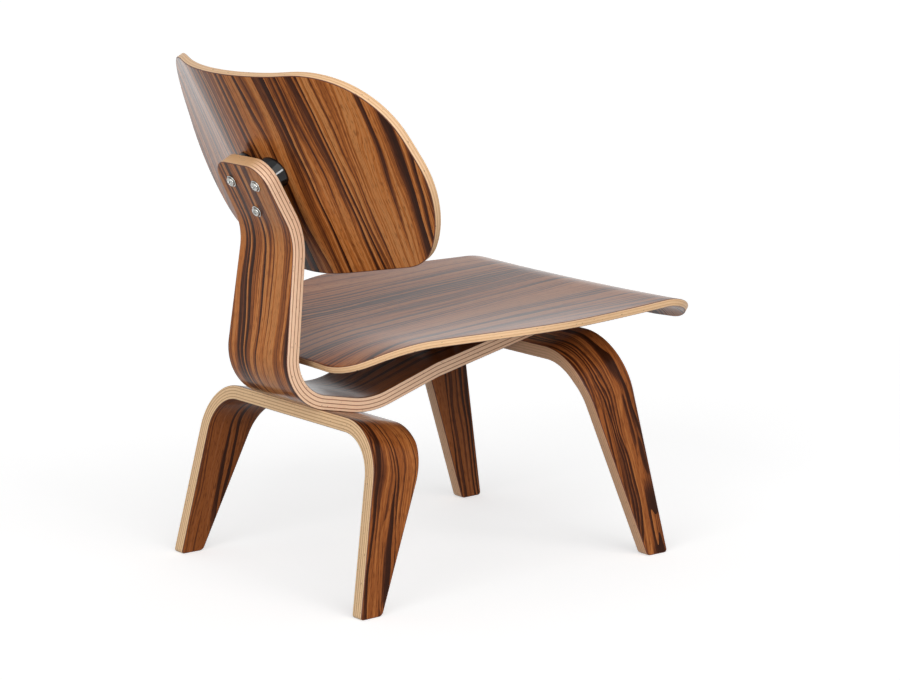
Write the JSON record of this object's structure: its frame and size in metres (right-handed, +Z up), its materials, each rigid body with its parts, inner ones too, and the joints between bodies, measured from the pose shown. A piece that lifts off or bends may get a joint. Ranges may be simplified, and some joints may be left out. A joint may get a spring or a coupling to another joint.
{
  "type": "plywood lounge chair",
  "caption": "Low lounge chair of bent and moulded plywood: a dished seat and a curved back on a bent spine and leg arches, with rubber shock mounts.",
  "frame": {"origin": "middle of the footprint of the bounding box, on the floor", "axes": "+Z up, the chair faces -Y, +X is the sitter's left"},
  "size_m": [0.503, 0.6223, 0.6706],
  "materials": {
    "veneered_plywood": "satin lacquer",
    "black_rubber": "smooth",
    "bright_steel": "bright plated",
    "brass_insert": "turned"
  },
  "bodies": {
    "frame": {"back_mount_inserts": "brass_insert", "back_mount_lower": "black_rubber", "back_mount_upper_left": "black_rubber", "back_mount_upper_right": "black_rubber", "back_screw_lower": "bright_steel", "back_screw_upper_left": "bright_steel", "back_screw_upper_right": "bright_steel", "back_washers": "bright_steel", "front_leg_arch": "veneered_plywood", "front_leg_screw_left": "bright_steel", "front_leg_screw_right": "bright_steel", "front_leg_washers": "bright_steel", "rear_leg_arch": "veneered_plywood", "rear_leg_inserts": "brass_insert", "rear_leg_screw_left": "bright_steel", "rear_leg_screw_right": "bright_steel", "rear_leg_washers": "bright_steel", "seat_mount_front_left": "black_rubber", "seat_mount_front_right": "black_rubber", "seat_mount_inserts": "brass_insert", "seat_mount_rear_left": "black_rubber", "seat_mount_rear_right": "black_rubber", "seat_screw_left": "bright_steel", "seat_screw_right": "bright_steel", "seat_shell": "veneered_plywood", "seat_washers": "bright_steel", "spine": "veneered_plywood"},
    "back": {"back_shell": "veneered_plywood"}
  },
  "joints": [
    {"name": "back_flex", "type": "hinge", "parent": "frame", "child": "back", "pos_m": [0, 0.24644, 0.51914], "axis": [-1, 0, 0], "range_deg": [-2, 4], "stiffness_Nm_per_rad": 250, "deforming": ["back_mount_lower", "back_mount_upper_left", "back_mount_upper_right"]}
  ]
}
